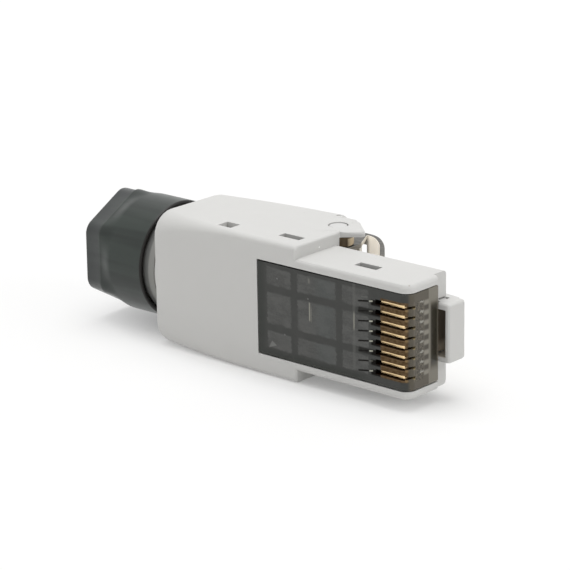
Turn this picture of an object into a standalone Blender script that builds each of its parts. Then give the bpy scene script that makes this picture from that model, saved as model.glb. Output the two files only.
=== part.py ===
"""Field termination Ethernet plug: an eight-way modular plug with a latch, a release lever and a gland nut.

+X is the mating direction, -Y the contact side, +Y the latch side and Z the plug's width. The origin is the
middle of the mating face. The plug lies on the lower narrow side of its rear body.
"""
import math

import bmesh
import bpy
from mathutils import Matrix, Vector

MM = 0.001

# Mating end
PLUG_WIDTH = 11.68 * MM
PLUG_DEPTH = 6.60 * MM
CONTACT_COUNT = 8
CONTACT_PITCH = 1.016 * MM
FRONT_LENGTH = 14.3 * MM
SIDE_WALL = 0.86 * MM
WALL_SETBACK = 0.58 * MM
NOSE_RADIUS = 1.1 * MM
FRONT_EDGE_RADIUS = 0.42 * MM

# Rear body
REAR_LENGTH = 19.6 * MM
REAR_WIDTH = 14.3 * MM
REAR_DEPTH = 13.6 * MM
BACK_TAPER = 0.7 * MM
REAR_WALL = 1.1 * MM
NEAR_RADIUS = 0.55 * MM
NEAR_RADIUS_AT_BACK = 2.6 * MM
FAR_RADIUS = 2.2 * MM
FAR_RADIUS_AT_BACK = 3.9 * MM
STEP_EDGE_RADIUS = 0.25 * MM
BACK_EDGE_RADIUS = 0.55 * MM

# Contact carrier and wire manager
CARRIER_LENGTH = 19.4 * MM
ROOF_DEPTH = 1.97 * MM
CARRIER_FACE_WALL = 1.1 * MM
CARRIER_SIDE_WALL = 0.7 * MM
CARRIER_BLOCK = 6.7 * MM
CARRIER_EDGE = 0.08 * MM
RIB_WIDTH = 0.5 * MM
RIB_HEIGHT = 0.8 * MM
MANAGER_LENGTH = 4.6 * MM
MANAGER_DEPTH = 2.0 * MM
MANAGER_WIDTH = 9.4 * MM
CHAMBER_OVERLAP = 0.15 * MM
MANAGER_SIDE_WALL = 0.55 * MM
MANAGER_EDGE = 0.1 * MM
GROOVE_WIDTH = 0.70 * MM
GROOVE_DEPTH = 1.5 * MM

# Contacts
CONTACT_THICKNESS = 0.35 * MM
SLOT_WIDTH = 0.50 * MM
NOSE_SLOT_WIDTH = 0.24 * MM
BLADE_FRONT = 0.66 * MM
BLADE_LENGTH = 3.0 * MM
BLADE_RECESS = 0.35 * MM
BLADE_HEIGHT = 2.15 * MM
BLADE_RADIUS = 0.3 * MM
SLOT_FRONT_DEPTH = 1.1 * MM
BEAM_HEIGHT = 0.45 * MM
TINE_WIDTH = 1.0 * MM
TINE_TIP = 0.45 * MM
TINE_ROW_FRONT = 15.9 * MM
TINE_ROW_SPACING = 1.8 * MM

# Snap windows in both narrow sides: distance behind the mating face, length, height off the contact
# side, width
FRONT_WINDOW = (5.85 * MM, 2.75 * MM, 2.3 * MM, 1.05 * MM)
MIDDLE_WINDOW = (15.5 * MM, 2.7 * MM, 2.0 * MM, 1.0 * MM)
REAR_WINDOW = (23.8 * MM, 1.75 * MM, 1.05 * MM, 1.45 * MM)
HOOK_REACH = 0.55 * MM
HOOK_PLAY = 0.2 * MM

# Rear cover
COVER_LENGTH = 12.7 * MM
COVER_START = 5.25 * MM
COVER_MARGIN = 1.55 * MM
COVER_EDGE_DEPTH = 2.8 * MM
ARM_THICKNESS = 0.6 * MM
ARM_INSET = 0.1 * MM

# Ears, pin and release lever
PIN_BEHIND_STEP = 1.65 * MM
PIN_ABOVE = 2.0 * MM
PIN_RADIUS = 0.95 * MM
PIN_RECESS = 0.05 * MM
BUSH_RADIUS = 1.6 * MM
EAR_THICKNESS = 0.65 * MM
EAR_REACH = 1.95 * MM
EAR_NOSE_ABOVE = 2.05 * MM
EAR_NOSE_RADIUS = 0.45 * MM
EAR_SLOPE = 2.75 * MM
EAR_DEPTH = 4.5 * MM
EAR_ROOT_RADIUS = 1.5 * MM
EAR_ROOT_SETBACK = 0.41 * MM
LEVER_BAY_LENGTH = 4.1 * MM
LEVER_BAY_FLOOR = 0.2 * MM
SHEET = 0.50 * MM
LEVER_SIDE_PLAY = 1.4 * MM
LEVER_ABOVE = 6.9 * MM
LEVER_WEB_START = 0.5 * MM
LEVER_STRAIGHT = 1.9 * MM
LEVER_BEND_RADIUS = 3.6 * MM
LEVER_BEND = 36.0
LEVER_CURL_RADIUS = 13.0 * MM
LEVER_CURL = 15.0
LEVER_RUN = 2.46 * MM
LOBE_RADIUS = 1.6 * MM
LEVER_WINDOW_START = 1.0 * MM
LEVER_WINDOW_LENGTH = 1.0 * MM
LEVER_WINDOW_WIDTH = 8.0 * MM

# Latch
LATCH_WIDTH = 6.1 * MM
TAIL_WIDTH = 3.25 * MM
NOSE_FRONT = 1.25 * MM
NOSE_BELOW = 1.85 * MM
NOSE_ABOVE = 0.8 * MM
NOSE_WALL = 0.45 * MM
NOSE_SIDE_WALL = 0.65 * MM
NOSE_EDGE_RADIUS = 0.35 * MM
ARM_DEPTH = 0.75 * MM
SHOULDER_AHEAD = 5.9 * MM
TAIL_AHEAD = 3.4 * MM
ARM_RISE = 0.98 * MM
TAIL_ABOVE = 0.8 * MM
TAIL_DEPTH = 0.6 * MM
FLEX_X = -0.5 * MM
FLEX_BELOW = 1.0 * MM
ROOT_LENGTH = 1.0 * MM
ROOT_DEPTH = 1.0 * MM
ROOT_BELOW = 1.4 * MM
ROOT_PLAY = 0.15 * MM

# Neck, gland nut and cable clamp
GLAND_HEIGHT = 3.8 * MM
NECK_RADIUS = 5.75 * MM
NECK_LENGTH = 1.2 * MM
NECK_ROOT = 0.8 * MM
STUB_RADIUS = 5.1 * MM
STUB_LENGTH = 5.87 * MM
NECK_BORE = 4.35 * MM
RING_WIDTH = 1.67 * MM
NUT_BEHIND_BODY = 2.7 * MM
NUT_LENGTH = 8.8 * MM
NUT_COLLAR_RADIUS = 6.35 * MM
NUT_HEX_APOTHEM = 5.9 * MM
NUT_HEX_CORNER = 1.5 * MM
NUT_HEX_TURN = -0.5
NUT_RIM_LENGTH = 1.9 * MM
NUT_RIM_DROP = 0.35 * MM
NUT_SHOULDER_LENGTH = 0.45 * MM
NUT_BLEND_LENGTH = 2.6 * MM
NUT_EDGE_RADIUS = 0.25 * MM
NUT_SKIRT_DEPTH = 2.3 * MM
NUT_SKIRT_WALL = 0.4 * MM
NUT_END_WALL = 1.0 * MM
NUT_ENTRY_RADIUS = 3.7 * MM
NUT_CHAMBER_LENGTH = 1.8 * MM
NUT_CHAMBER_RADIUS = 4.95 * MM
CLAMP_FLANGE = 1.1 * MM
CLAMP_FLANGE_RADIUS = 4.75 * MM
CLAMP_RADIUS = 4.2 * MM
CLAMP_BORE = 3.35 * MM
CLAMP_LENGTH = 5.6 * MM
CLAMP_TIP = 0.8 * MM
CLAMP_TIP_TAPER = 0.25 * MM
CLAMP_MOUTH = 0.3 * MM
CLAMP_SLOTS = 6
CLAMP_SLOT_WIDTH = 0.8 * MM

# Clearances
FIT = 0.08 * MM
SEAT = 0.12 * MM
RUNNING = 0.10 * MM
THREAD_CLEARANCE = 0.15 * MM
OVERRUN = 1.0 * MM

ROUND_SEGMENTS = 64
CORNER_STEPS = 7
RIM_STEPS = 4

# Levels that several pieces share
CONTACT_SIDE = -PLUG_DEPTH / 2
LATCH_SIDE = PLUG_DEPTH / 2
STEP_X = -FRONT_LENGTH
BACK_X = STEP_X - REAR_LENGTH
FAR_SIDE = CONTACT_SIDE + REAR_DEPTH
CHANNEL_HALF = PLUG_WIDTH / 2 - SIDE_WALL
CARRIER_HALF = CHANNEL_HALF - FIT
CARRIER_BACK = LATCH_SIDE - ROOF_DEPTH
CHANNEL_FLOOR = CARRIER_BACK + FIT
CAVITY_FRONT = -CARRIER_LENGTH
BEAM_BACK = CONTACT_SIDE + BLADE_RECESS + BLADE_HEIGHT
PIN_X = STEP_X - PIN_BEHIND_STEP
PIN_Y = LATCH_SIDE + PIN_ABOVE
EAR_INNER = REAR_WIDTH / 2 - EAR_THICKNESS
EAR_TOP = LATCH_SIDE + EAR_DEPTH
BAY_BACK = STEP_X - LEVER_BAY_LENGTH
LEVER_HALF = EAR_INNER - LEVER_SIDE_PLAY
LEVER_TOP = LATCH_SIDE + LEVER_ABOVE
COVER_HALF = REAR_WIDTH / 2 - COVER_MARGIN
NOSE_TOP = LATCH_SIDE + NOSE_ABOVE
SHOULDER_X = STEP_X + SHOULDER_AHEAD
NECK_BACK = BACK_X - NECK_LENGTH
STUB_BACK = NECK_BACK - STUB_LENGTH
NUT_FRONT = BACK_X - NUT_BEHIND_BODY
NUT_BACK = NUT_FRONT - NUT_LENGTH


def material(name, colour, roughness, metallic=0.0, transmission=0.0):
    """One Principled finish, shared by the pieces made of it."""
    finish = bpy.data.materials.new(name)
    finish.use_nodes = True
    shader = finish.node_tree.nodes["Principled BSDF"]
    shader.inputs["Base Color"].default_value = (*colour, 1.0)
    shader.inputs["Roughness"].default_value = roughness
    shader.inputs["Metallic"].default_value = metallic
    shader.inputs["Transmission Weight"].default_value = transmission
    return finish


def add_object(name, bm, finish=None, smooth_angle=35.0):
    """Turns a bmesh into an object with outward faces, smooth up to an angle."""
    bmesh.ops.recalc_face_normals(bm, faces=bm.faces)
    mesh = bpy.data.meshes.new(name)
    bm.to_mesh(mesh)
    bm.free()
    mesh.shade_smooth()
    mesh.set_sharp_from_angle(angle=math.radians(smooth_angle))
    if finish:
        mesh.materials.append(finish)
    made = bpy.data.objects.new(name, mesh)
    bpy.context.scene.collection.objects.link(made)
    return made


def set_pivot(piece, point):
    """Puts a moving piece's origin on its joint axis and leaves its form where it is."""
    piece.data.transform(Matrix.Translation(-Vector(point)))
    piece.location = point


def as_tool(made):
    """Marks an object as a tool that shapes another, not a piece of the plug."""
    made.hide_render = True
    made.display_type = "WIRE"
    return made


def shape(target, tool, operation):
    """Joins a tool to a piece, cuts it away, or keeps only what both share."""
    step = target.modifiers.new(tool.name, "BOOLEAN")
    step.solver = "EXACT"
    step.operation = operation
    step.object = as_tool(tool)


def cut(target, tool):
    shape(target, tool, "DIFFERENCE")


def join(target, tool):
    shape(target, tool, "UNION")


def bm_loft(bm, rings):
    """Skins rings of equal point counts and caps both ends."""
    loops = [[bm.verts.new(point) for point in ring] for ring in rings]
    for near, far in zip(loops, loops[1:]):
        for k in range(len(near)):
            after = (k + 1) % len(near)
            bm.faces.new((near[k], near[after], far[after], far[k]))
    bm.faces.new(loops[0])
    bm.faces.new(loops[-1])


def bm_sleeve(bm, rings):
    """Skins a closed run of rings, the last back to the first, so the solid has a hole through it."""
    loops = [[bm.verts.new(point) for point in ring] for ring in rings]
    for near, far in zip(loops, loops[1:] + loops[:1]):
        for k in range(len(near)):
            after = (k + 1) % len(near)
            bm.faces.new((near[k], near[after], far[after], far[k]))


def bm_box(bm, low, high, edge=0.0, segments=2):
    """A box between two corners, its edges rounded where an edge radius is given."""
    made = bmesh.ops.create_cube(bm, size=1.0)["verts"]
    for vert in made:
        for axis in range(3):
            vert.co[axis] = high[axis] if vert.co[axis] > 0 else low[axis]
    if edge:
        edges = list({e for vert in made for e in vert.link_edges})
        bmesh.ops.bevel(bm, geom=edges, offset=edge, segments=segments, affect="EDGES", profile=0.5)


def bm_prism(bm, outline, low, high, edge=0.0, segments=2):
    """Extrudes an outline of X and Y points along Z, its rims rounded where an edge radius is given."""
    base = [bm.verts.new((x, y, low)) for x, y in outline]
    face = bm.faces.new(base)
    made = bmesh.ops.extrude_face_region(bm, geom=[face])["geom"]
    top = [item for item in made if isinstance(item, bmesh.types.BMVert)]
    for vert in top:
        vert.co.z = high
    if edge:
        rims = {e for v in base for e in v.link_edges if e.other_vert(v) in base}
        rims |= {e for v in top for e in v.link_edges if e.other_vert(v) in top}
        bmesh.ops.bevel(bm, geom=list(rims), offset=edge, segments=segments, affect="EDGES", profile=0.5)


def box(name, low, high, finish=None, edge=0.0, segments=2):
    bm = bmesh.new()
    bm_box(bm, low, high, edge, segments)
    return add_object(name, bm, finish)


def boxes(name, corners, finish=None):
    """Several separate boxes as one object."""
    bm = bmesh.new()
    for low, high in corners:
        bm_box(bm, low, high)
    return add_object(name, bm, finish)


def prism(name, outline, low, high, finish=None, edge=0.0, segments=2):
    bm = bmesh.new()
    bm_prism(bm, outline, low, high, edge, segments)
    return add_object(name, bm, finish)


def prisms(name, outline, spans):
    """The same outline extruded over several separate spans of Z, as one object."""
    bm = bmesh.new()
    for low, high in spans:
        bm_prism(bm, outline, low, high)
    return add_object(name, bm)


def arc(centre_x, centre_y, radius, start, end, steps=CORNER_STEPS):
    """Points on an arc from start to end, in degrees."""
    angles = [math.radians(start + (end - start) * k / steps) for k in range(steps + 1)]
    return [(centre_x + radius * math.cos(a), centre_y + radius * math.sin(a)) for a in angles]


def gland_ring(x, radius):
    """A circle round the gland's axis; the radius is a number or a function of the angle."""
    ring = []
    for k in range(ROUND_SEGMENTS):
        angle = 2 * math.pi * k / ROUND_SEGMENTS
        reach = radius(angle) if callable(radius) else radius
        ring.append((x, GLAND_HEIGHT + reach * math.cos(angle), reach * math.sin(angle)))
    return ring


def turned(name, profile, finish=None):
    """A solid turned round the gland's axis from X and radius pairs, capped at both ends."""
    bm = bmesh.new()
    bm_loft(bm, [gland_ring(x, radius) for x, radius in profile])
    return add_object(name, bm, finish)


def pin_cylinder(name, radius, low, high, finish=None):
    """A cylinder on the lever pin's axis."""
    outline = arc(PIN_X, PIN_Y, radius, 0, 360, ROUND_SEGMENTS // 2)[:-1]
    return prism(name, outline, low, high, finish)


def rear_section(x, inset=0.0):
    """The rear body's rounded cross-section at x, drawn in by an inset."""
    share = min(max((STEP_X - x) / REAR_LENGTH, 0.0), 1.0)
    near_radius = NEAR_RADIUS + (NEAR_RADIUS_AT_BACK - NEAR_RADIUS) * share**3
    far_radius = FAR_RADIUS + (FAR_RADIUS_AT_BACK - FAR_RADIUS) * share**2
    near_radius = max(near_radius - inset, NEAR_RADIUS)
    far_radius = max(far_radius - inset, NEAR_RADIUS)
    near = CONTACT_SIDE + inset
    far = FAR_SIDE - BACK_TAPER * share**2 - inset
    half = REAR_WIDTH / 2 - inset
    corners = (
        (near + near_radius, half - near_radius, near_radius, 90),
        (near + near_radius, -half + near_radius, near_radius, 180),
        (far - far_radius, -half + far_radius, far_radius, 270),
        (far - far_radius, half - far_radius, far_radius, 0),
    )
    ring = []
    for y, z, radius, start in corners:
        ring += [(x, *point) for point in arc(y, z, radius, start, start + 90)]
    return ring


def rear_loft(name, rims, start, end, inset=0.0, spans=12):
    """The rear body's form from start back to end; each rim is its end's edge radius."""
    steps = RIM_STEPS
    start_rim, end_rim = rims
    rings = []
    for k in range(steps if start_rim else 0):
        angle = math.radians(90 * k / steps)
        x = start - start_rim * (1 - math.cos(angle))
        rings.append(rear_section(x, inset + start_rim * (1 - math.sin(angle))))
    first, last = start - start_rim, end + end_rim
    rings += [rear_section(first + (last - first) * k / spans, inset) for k in range(spans + 1)]
    for k in range(1, steps + 1 if end_rim else 1):
        angle = math.radians(90 * k / steps)
        x = last - end_rim * math.sin(angle)
        rings.append(rear_section(x, inset + end_rim * (1 - math.cos(angle))))
    bm = bmesh.new()
    bm_loft(bm, rings)
    return add_object(name, bm)


def window_box(window, inner, outer, side, play=0.0):
    """A snap window's box on one narrow side, from the inner to the outer distance off the mid-plane."""
    behind, length, height, width = window
    low_y = CONTACT_SIDE + height
    zs = sorted((side * inner, side * outer))
    low = (-behind - length + play, low_y + play, zs[0])
    high = (-behind - play, low_y + width - play, zs[1])
    return low, high


def cover_bounds(play):
    """The box that the rear cover is cut from; its hole in the housing is larger by the play."""
    start = STEP_X - COVER_START + play
    half = COVER_HALF + play
    low = (start - COVER_LENGTH - 2 * play, FAR_SIDE - COVER_EDGE_DEPTH, -half)
    return low, (start, FAR_SIDE + OVERRUN, half)


def nose_form(name, back, half, edge, high=LATCH_SIDE, steps=3):
    """A length of the mating end, its nose rounded at the contact side and its rims rounded too."""
    levels = []
    for k in range(steps + 1):
        angle = math.radians(90 * k / steps)
        levels.append((half - edge * (1 - math.cos(angle)), edge * (1 - math.sin(angle))))
    sides = [(-z, inset) for z, inset in levels] + [(z, inset) for z, inset in reversed(levels)]
    rings = []
    for z, inset in sides:
        front, low = -inset, CONTACT_SIDE + inset
        centre = (-NOSE_RADIUS, CONTACT_SIDE + NOSE_RADIUS)
        corner = arc(*centre, NOSE_RADIUS - inset, 270, 360)
        outline = [(back, low), *corner, (front, high - inset), (back, high - inset)]
        rings.append([(x, y, z) for x, y in outline])
    bm = bmesh.new()
    bm_loft(bm, rings)
    return add_object(name, bm)


def rounded(corners):
    """An outline with filleted corners, from X, Y and fillet radius triples."""
    outline = []
    for k, (x, y, radius) in enumerate(corners):
        if not radius:
            outline.append((x, y))
            continue
        here = Vector((x, y))
        before = (Vector(corners[k - 1][:2]) - here).normalized()
        after = (Vector(corners[(k + 1) % len(corners)][:2]) - here).normalized()
        half = before.angle(after) / 2
        centre = here + (before + after).normalized() * radius / math.sin(half)
        reach = radius / math.tan(half)
        first, last = here + before * reach - centre, here + after * reach - centre
        start = math.atan2(first.y, first.x)
        sweep = (math.atan2(last.y, last.x) - start + math.pi) % math.tau - math.pi
        outline += arc(*centre, radius, math.degrees(start), math.degrees(start + sweep))
    return outline


def ear_outline():
    """An ear seen along Z: its nose stands ahead of the step, its root is inside the rear body."""
    root = BAY_BACK - OVERRUN
    nose_x = STEP_X + EAR_REACH
    corners = [
        (root, LATCH_SIDE, 0),
        (STEP_X - EAR_ROOT_SETBACK, LATCH_SIDE, EAR_ROOT_RADIUS),
        (nose_x, LATCH_SIDE + EAR_NOSE_ABOVE, EAR_NOSE_RADIUS),
        (nose_x - EAR_SLOPE, EAR_TOP, EAR_NOSE_RADIUS),
        (root, EAR_TOP, 0),
    ]
    return rounded(corners)


def make_housing(finish):
    """The one-piece housing: rear body, channel for the carrier, ears, neck and windows."""
    housing = rear_loft("housing", (STEP_EDGE_RADIUS, BACK_EDGE_RADIUS), STEP_X, BACK_X)
    housing.data.materials.append(finish)
    join(housing, nose_form("front_form", STEP_X - 2 * OVERRUN, PLUG_WIDTH / 2, FRONT_EDGE_RADIUS))
    neck = [(BACK_X + NECK_ROOT, NECK_RADIUS), (NECK_BACK, NECK_RADIUS)]
    neck += [(NECK_BACK, STUB_RADIUS), (STUB_BACK, STUB_RADIUS)]
    join(housing, turned("neck_form", neck))
    cut_lever_bay(housing)
    cut_interior(housing)
    cut_windows(housing)
    return housing


def cut_lever_bay(housing):
    """Opens the latch side behind the step for the release lever and leaves an ear on each side."""
    over = FAR_SIDE + OVERRUN
    front = STEP_X + OVERRUN
    trim = [(BAY_BACK, EAR_TOP), (PIN_X, EAR_TOP), (PIN_X, PIN_Y)]
    trim += [(front, PIN_Y), (front, over), (BAY_BACK, over)]
    cut(housing, prism("ear_trim", trim, -REAR_WIDTH, REAR_WIDTH))
    bay_low = (BAY_BACK, LATCH_SIDE + LEVER_BAY_FLOOR, -EAR_INNER)
    cut(housing, box("lever_bay", bay_low, (front, over, EAR_INNER)))
    half = REAR_WIDTH / 2
    ears = prisms("ear_form", ear_outline(), [(-half, -EAR_INNER), (EAR_INNER, half)])
    join(housing, ears)
    cut(housing, pin_cylinder("pin_hole", PIN_RADIUS + RUNNING, -REAR_WIDTH, REAR_WIDTH))


def cut_interior(housing):
    """Hollows the housing: channel, comb seat, wiring chamber, cover hole, gland bore, latch sockets."""
    low = (CAVITY_FRONT, CONTACT_SIDE - OVERRUN, -CHANNEL_HALF)
    cut(housing, box("carrier_channel", low, (OVERRUN, CHANNEL_FLOOR, CHANNEL_HALF)))
    seat_front = CAVITY_FRONT + MANAGER_LENGTH + 2 * SEAT
    seat_top = CHANNEL_FLOOR + MANAGER_DEPTH + 2 * SEAT
    seat_half = MANAGER_WIDTH / 2 + SEAT
    low = (CAVITY_FRONT - OVERRUN / 2, CARRIER_BACK, -seat_half)
    cut(housing, box("manager_seat", low, (seat_front, seat_top, seat_half)))
    chamber_front = CAVITY_FRONT + CHAMBER_OVERLAP
    chamber_back = BACK_X + REAR_WALL
    cut(housing, rear_loft("wiring_chamber", (0.0, 0.0), chamber_front, chamber_back, REAR_WALL))
    cut(housing, box("cover_hole", *cover_bounds(SEAT)))
    bore = [(BACK_X + REAR_WALL + OVERRUN, NECK_BORE), (STUB_BACK - OVERRUN, NECK_BORE)]
    cut(housing, turned("gland_bore", bore))
    setback_high = (OVERRUN, LATCH_SIDE + OVERRUN, PLUG_WIDTH)
    cut(housing, box("wall_setback", (-WALL_SETBACK, CARRIER_BACK, -PLUG_WIDTH), setback_high))
    half = LATCH_WIDTH / 2
    inner = half - NOSE_SIDE_WALL - ROOT_PLAY
    root = LATCH_SIDE - ROOT_BELOW
    root_low = (-WALL_SETBACK - ROOT_LENGTH - ROOT_PLAY, root - ROOT_PLAY, 0)
    root_high = (OVERRUN, root + ROOT_DEPTH + ROOT_PLAY, 0)
    corners = []
    for low_z, high_z in ((-half - ROOT_PLAY, -inner), (inner, half + ROOT_PLAY)):
        corners.append(((*root_low[:2], low_z), (*root_high[:2], high_z)))
    cut(housing, boxes("latch_sockets", corners))


def cut_windows(housing):
    """Cuts the three pairs of snap windows through the narrow sides."""
    outer = REAR_WIDTH / 2 + OVERRUN
    corners = []
    for side in (-1, 1):
        corners.append(window_box(FRONT_WINDOW, CHANNEL_HALF - OVERRUN / 2, outer, side))
        corners.append(window_box(MIDDLE_WINDOW, CHANNEL_HALF - OVERRUN / 2, outer, side))
        corners.append(window_box(REAR_WINDOW, REAR_WIDTH / 2 - REAR_WALL - OVERRUN / 2, outer, side))
    cut(housing, boxes("snap_windows", corners))


def make_rear_cover(finish):
    """The lid over the wiring chamber: a piece of the rear body's skin on two snap arms."""
    cover = rear_loft("rear_cover", (0.0, 0.0), STEP_X - OVERRUN, BACK_X + OVERRUN)
    cover.data.materials.append(finish)
    cut(cover, rear_loft("cover_inside", (0.0, 0.0), STEP_X, BACK_X, REAR_WALL))
    shape(cover, box("cover_edge", *cover_bounds(0.0)), "INTERSECT")
    top = FAR_SIDE - REAR_WALL
    outer = COVER_HALF - ARM_INSET
    wall_inner = REAR_WIDTH / 2 - REAR_WALL
    for side in (-1, 1):
        low, high = window_box(REAR_WINDOW, outer - ARM_THICKNESS, outer, side, HOOK_PLAY)
        join(cover, box(f"arm_{side}", low, (high[0], top, high[2])))
        hook = (outer - ARM_THICKNESS / 2, wall_inner + HOOK_REACH)
        join(cover, box(f"arm_hook_{side}", *window_box(REAR_WINDOW, *hook, side, HOOK_PLAY)))
    return cover


def contact_z(index):
    """The mid-plane distance of a contact, counted from the upper narrow side."""
    return ((CONTACT_COUNT - 1) / 2 - index) * CONTACT_PITCH


def slot_outline():
    """One contact slot seen along Z: open at the face, with a shallow run behind it for the beam."""
    front = -BLADE_FRONT + RUNNING
    back = -BLADE_FRONT - BLADE_LENGTH - RUNNING
    floor = BEAM_BACK + RUNNING
    beam_top = BEAM_BACK - BEAM_HEIGHT - RUNNING
    return [
        (back, CONTACT_SIDE - OVERRUN),
        (front, CONTACT_SIDE - OVERRUN),
        (front, floor),
        (-CARRIER_BLOCK - OVERRUN, floor),
        (-CARRIER_BLOCK - OVERRUN, beam_top),
        (back, beam_top),
    ]


def make_contact_carrier(finish):
    """The smoky carrier: a nose with eight slots, then a tray with a grid of ribs inside its face."""
    carrier_end = -CARRIER_LENGTH + FIT
    carrier = nose_form("contact_carrier", carrier_end, CARRIER_HALF, CARRIER_EDGE, CARRIER_BACK, steps=1)
    carrier.data.materials.append(finish)
    tray_back = carrier_end + CARRIER_SIDE_WALL
    half = CARRIER_HALF - CARRIER_SIDE_WALL
    face = CONTACT_SIDE + CARRIER_FACE_WALL
    over = CARRIER_BACK + OVERRUN
    cut(carrier, box("tray", (tray_back, face + RIB_HEIGHT, -half), (-CARRIER_BLOCK, over, half)))
    pane_x = (-CARRIER_BLOCK - tray_back - 2 * RIB_WIDTH) / 3
    pane_z = (2 * half - 2 * RIB_WIDTH) / 3
    panes = []
    for column in range(3):
        for row in range(3):
            x = tray_back + column * (pane_x + RIB_WIDTH)
            z = -half + row * (pane_z + RIB_WIDTH)
            panes.append(((x, face, z), (x + pane_x, over, z + pane_z)))
    cut(carrier, boxes("panes", panes))
    middles = [contact_z(k) for k in range(CONTACT_COUNT)]
    spans = [(z - SLOT_WIDTH / 2, z + SLOT_WIDTH / 2) for z in middles]
    cut(carrier, prisms("contact_slots", slot_outline(), spans))
    low = (-BLADE_FRONT - RUNNING, CONTACT_SIDE - 2 * OVERRUN)
    high = (OVERRUN, CONTACT_SIDE + SLOT_FRONT_DEPTH)
    half = NOSE_SLOT_WIDTH / 2
    cut(carrier, boxes("nose_slots", [((*low, z - half), (*high, z + half)) for z in middles]))
    hooks = []
    for window in (FRONT_WINDOW, MIDDLE_WINDOW):
        for side in (-1, 1):
            inner = CARRIER_HALF - CARRIER_SIDE_WALL / 2
            hooks.append(window_box(window, inner, CARRIER_HALF + HOOK_REACH, side, HOOK_PLAY))
    join(carrier, boxes("carrier_hooks", hooks))
    return carrier


def contact_outline(tine_x):
    """One flat stamped contact seen along Z: blade, beam, and two tines that pierce the wire."""
    front = -BLADE_FRONT
    back = front - BLADE_LENGTH
    top = CONTACT_SIDE + BLADE_RECESS
    beam_top = BEAM_BACK - BEAM_HEIGHT
    half = TINE_WIDTH / 2
    tip = CHANNEL_FLOOR + SEAT + GROOVE_DEPTH - RUNNING
    shoulder = tip - TINE_TIP
    nose = arc(front - BLADE_RADIUS, top + BLADE_RADIUS, BLADE_RADIUS, 270, 360, 4)
    return [
        (back, top),
        *nose,
        (front, BEAM_BACK),
        (tine_x + half, BEAM_BACK),
        (tine_x + half, shoulder),
        (tine_x + half / 2, tip),
        (tine_x, shoulder),
        (tine_x - half / 2, tip),
        (tine_x - half, shoulder),
        (tine_x - half, beam_top),
        (back, beam_top),
    ]


def make_contacts(finish):
    """Eight contacts in two staggered rows of tines."""
    half = CONTACT_THICKNESS / 2
    for index in range(CONTACT_COUNT):
        tine_x = -TINE_ROW_FRONT - TINE_ROW_SPACING * (index % 2)
        contact = prism(f"contact_{index + 1}", contact_outline(tine_x), -half, half, finish)
        contact.location.z = contact_z(index)


def make_wire_manager(finish):
    """The comb that holds the eight wires under the tines."""
    low_x = CAVITY_FRONT + SEAT
    low_y = CHANNEL_FLOOR + SEAT
    half = MANAGER_WIDTH / 2
    high = (low_x + MANAGER_LENGTH, low_y + MANAGER_DEPTH, half)
    manager = box("wire_manager", (low_x, low_y, -half), high, finish, edge=MANAGER_EDGE, segments=1)
    grooves = []
    for k in range(CONTACT_COUNT):
        z = contact_z(k)
        low = (low_x - OVERRUN, low_y - OVERRUN, z - GROOVE_WIDTH / 2)
        groove_high = (high[0] - MANAGER_SIDE_WALL, low_y + GROOVE_DEPTH, z + GROOVE_WIDTH / 2)
        grooves.append((low, groove_high))
    cut(manager, boxes("wire_grooves", grooves))
    return manager


def make_lever_pin(finish):
    """The pin through both ears, a little below their faces."""
    half = REAR_WIDTH / 2 - PIN_RECESS
    return pin_cylinder("lever_pin", PIN_RADIUS, -half, half, finish)


def make_lever_bushes(finish):
    """Two plain rings on the pin, each between an ear and the lever."""
    near, far = LEVER_HALF + RUNNING, EAR_INNER - FIT
    for number, (low, high) in enumerate(((near, far), (-far, -near)), start=1):
        bush = pin_cylinder(f"lever_bush_{number}", BUSH_RADIUS, low, high, finish)
        cut(bush, pin_cylinder(f"bush_bore_{number}", PIN_RADIUS + FIT, -REAR_WIDTH, REAR_WIDTH))


def lever_path(offset):
    """The bent sheet's line seen along Z, offset inwards from its outer face."""
    start = BAY_BACK + LEVER_WEB_START
    centre = (start + LEVER_STRAIGHT, LEVER_TOP - LEVER_BEND_RADIUS)
    bend = arc(*centre, LEVER_BEND_RADIUS - offset, 90, 90 - LEVER_BEND)
    shift = LEVER_CURL_RADIUS - LEVER_BEND_RADIUS
    turn = math.radians(LEVER_BEND)
    centre = (centre[0] - shift * math.sin(turn), centre[1] - shift * math.cos(turn))
    curl = arc(*centre, LEVER_CURL_RADIUS - offset, 90 - LEVER_BEND, 90 - LEVER_BEND - LEVER_CURL)
    turn = math.radians(LEVER_BEND + LEVER_CURL)
    end = (curl[-1][0] + LEVER_RUN * math.cos(turn), curl[-1][1] - LEVER_RUN * math.sin(turn))
    return [(start, LEVER_TOP - offset), *bend, *curl[1:], end]


def make_release_lever(finish):
    """The sheet-metal lever: a web with a slot, a curl over the latch's tail, two flanges on the pin."""
    outer, inner = lever_path(0.0), lever_path(SHEET)
    half = LEVER_HALF
    lever = prism("release_lever", outer + inner[::-1], -half, half, finish)
    start = BAY_BACK + LEVER_WEB_START
    inside = LEVER_TOP - SHEET / 2
    lobe_top = PIN_Y + LOBE_RADIUS
    lobe = arc(PIN_X, PIN_Y, LOBE_RADIUS, 180, 360, 2 * CORNER_STEPS)
    flange = [(start, inside), (start, lobe_top), *lobe]
    flange += [(PIN_X + LOBE_RADIUS, lobe_top), (start + LEVER_STRAIGHT, inside)]
    join(lever, prisms("lever_flanges", flange, [(-half, SHEET - half), (half - SHEET, half)]))
    cut(lever, pin_cylinder("lever_holes", PIN_RADIUS + RUNNING, -REAR_WIDTH, REAR_WIDTH))
    window_x = start + LEVER_WINDOW_START
    window_low = (window_x, lobe_top, -LEVER_WINDOW_WIDTH / 2)
    window_high = (window_x + LEVER_WINDOW_LENGTH, LEVER_TOP + OVERRUN, LEVER_WINDOW_WIDTH / 2)
    cut(lever, box("lever_window", window_low, window_high))
    set_pivot(lever, (PIN_X, PIN_Y, 0))
    return lever


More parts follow.
